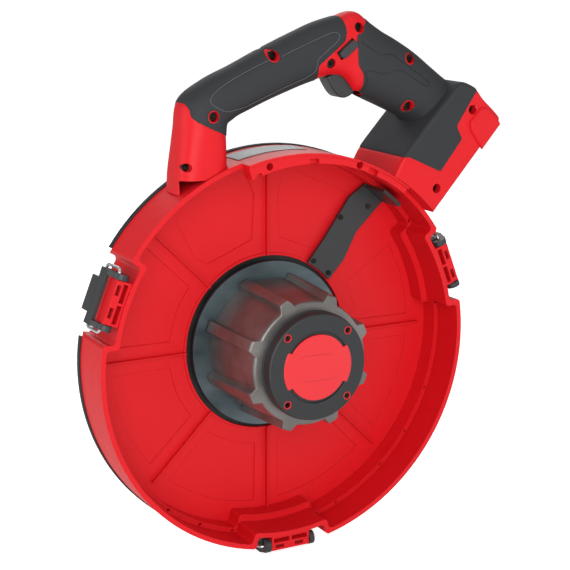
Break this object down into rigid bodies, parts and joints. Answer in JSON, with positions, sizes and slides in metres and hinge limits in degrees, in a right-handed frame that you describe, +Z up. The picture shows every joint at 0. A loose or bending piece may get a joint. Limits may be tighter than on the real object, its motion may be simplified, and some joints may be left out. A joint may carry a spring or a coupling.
{
  "type": "drain snake machine",
  "caption": "Powered rear half of a handheld drain snake machine: open round dish with a driven lug hub, latches, and an arched handle with trigger and battery foot.",
  "frame": {"origin": "on the drum axis, in the plane of the dish's front rim", "axes": "+Z up towards the handle, +X to the right and +Y into the dish, seen from its open side"},
  "size_m": [0.3579, 0.1026, 0.4426],
  "materials": {
    "red_plastic": "moulded, satin",
    "badge_red": "plain, smooth",
    "bumper_rubber": "matt",
    "grip_rubber": "soft overmould, fine grain",
    "dark_plastic": "moulded, fine grain",
    "black_plastic": "moulded",
    "plate_silver": "plain printed plate, no lettering",
    "cast_aluminium": "as cast, machined front",
    "zinc_plate": "zinc plated",
    "screw_steel": "plated",
    "gear_steel": "cut steel",
    "copper": "enamelled wire",
    "contact_brass": "bright",
    "board_green": "lacquered board"
  },
  "bodies": {
    "housing": {"rear_housing": "red_plastic", "bumper_ring": "bumper_rubber", "rating_plate": "plate_silver", "rear_motor_cover": "dark_plastic", "rear_cover_screws": "screw_steel", "handle_front_shell": "red_plastic", "handle_rear_shell": "red_plastic", "grip_cover_front": "grip_rubber", "grip_cover_rear": "grip_rubber", "neck_cover_front": "grip_rubber", "neck_cover_rear": "grip_rubber", "handle_screws": "screw_steel", "battery_rails": "dark_plastic", "battery_terminals": "contact_brass", "trigger_switch": "black_plastic", "trigger_spring": "screw_steel", "control_board": "board_green", "motor_leads": "black_plastic", "wire_cover": "dark_plastic", "wire_cover_screws": "screw_steel", "motor_mount": "cast_aluminium", "mount_screws": "screw_steel", "stator": "gear_steel", "stator_windings": "copper", "rotor_bearings": "screw_steel", "planet_carrier": "cast_aluminium", "hub_bearings": "screw_steel"},
    "hub": {"hub_casting": "cast_aluminium", "drive_flange": "zinc_plate", "flange_screws": "screw_steel", "hub_cap": "dark_plastic", "hub_badge": "badge_red", "cap_screws": "screw_steel", "ring_gear": "gear_steel"},
    "rotor": {"rotor": "gear_steel", "sun_gear": "gear_steel"},
    "planet_1": {"planet_gear_1": "gear_steel"},
    "planet_2": {"planet_gear_2": "gear_steel"},
    "planet_3": {"planet_gear_3": "gear_steel"},
    "trigger": {"trigger": "dark_plastic"},
    "direction_selector": {"direction_selector": "dark_plastic"},
    "bail_1": {"latch_bail_1": "zinc_plate"},
    "lever_1": {"latch_lever_1": "dark_plastic"},
    "bail_2": {"latch_bail_2": "zinc_plate"},
    "lever_2": {"latch_lever_2": "dark_plastic"},
    "bail_3": {"latch_bail_3": "zinc_plate"},
    "lever_3": {"latch_lever_3": "dark_plastic"}
  },
  "joints": [
    {"name": "hub_spin", "type": "hinge", "parent": "housing", "child": "hub", "pos_m": [0, 0, 0], "axis": [0, 1, 0], "continuous": true},
    {"name": "rotor_spin", "type": "hinge", "parent": "housing", "child": "rotor", "pos_m": [0, 0, 0], "axis": [0, 1, 0], "continuous": true},
    {"name": "planet_1_spin", "type": "hinge", "parent": "housing", "child": "planet_1", "pos_m": [0.0225, -0.018, 0], "axis": [0, 1, 0], "continuous": true},
    {"name": "planet_2_spin", "type": "hinge", "parent": "housing", "child": "planet_2", "pos_m": [-0.01125, -0.018, 0.01949], "axis": [0, 1, 0], "continuous": true},
    {"name": "planet_3_spin", "type": "hinge", "parent": "housing", "child": "planet_3", "pos_m": [-0.01125, -0.018, -0.01949], "axis": [0, 1, 0], "continuous": true},
    {"name": "trigger_pull", "type": "slide", "parent": "housing", "child": "trigger", "axis": [-0.4226, 0, 0.9063], "range_m": [0, 0.006], "stiffness_N_per_m": 600, "springref_m": -0.004, "deforming": ["trigger_spring"]},
    {"name": "direction_slide", "type": "slide", "parent": "housing", "child": "direction_selector", "axis": [0, 1, 0], "range_m": [-0.003, 0.003]},
    {"name": "bail_1_swing", "type": "hinge", "parent": "housing", "child": "bail_1", "pos_m": [-0.15277, 0.008, 0.06018], "axis": [0.3665, 0, 0.9304], "range_deg": [0, 165]},
    {"name": "lever_1_swing", "type": "hinge", "parent": "bail_1", "child": "lever_1", "pos_m": [-0.15445, 0.03, 0.06084], "axis": [-0.3665, 0, -0.9304], "range_deg": [0, 100]},
    {"name": "bail_2_swing", "type": "hinge", "parent": "housing", "child": "bail_2", "pos_m": [0.15277, 0.008, 0.06018], "axis": [0.3665, 0, -0.9304], "range_deg": [0, 165]},
    {"name": "lever_2_swing", "type": "hinge", "parent": "bail_2", "child": "lever_2", "pos_m": [0.15445, 0.03, 0.06084], "axis": [-0.3665, 0, 0.9304], "range_deg": [0, 100]},
    {"name": "bail_3_swing", "type": "hinge", "parent": "housing", "child": "bail_3", "pos_m": [0, 0.008, -0.1642], "axis": [-1, 0, 0], "range_deg": [0, 165]},
    {"name": "lever_3_swing", "type": "hinge", "parent": "bail_3", "child": "lever_3", "pos_m": [0, 0.03, -0.166], "axis": [1, 0, 0], "range_deg": [0, 100]}
  ],
  "couplings": [
    {"joint": "rotor_spin", "follows": "hub_spin", "ratio": -5},
    {"joint": "planet_1_spin", "follows": "hub_spin", "ratio": 2.5},
    {"joint": "planet_2_spin", "follows": "hub_spin", "ratio": 2.5},
    {"joint": "planet_3_spin", "follows": "hub_spin", "ratio": 2.5}
  ]
}
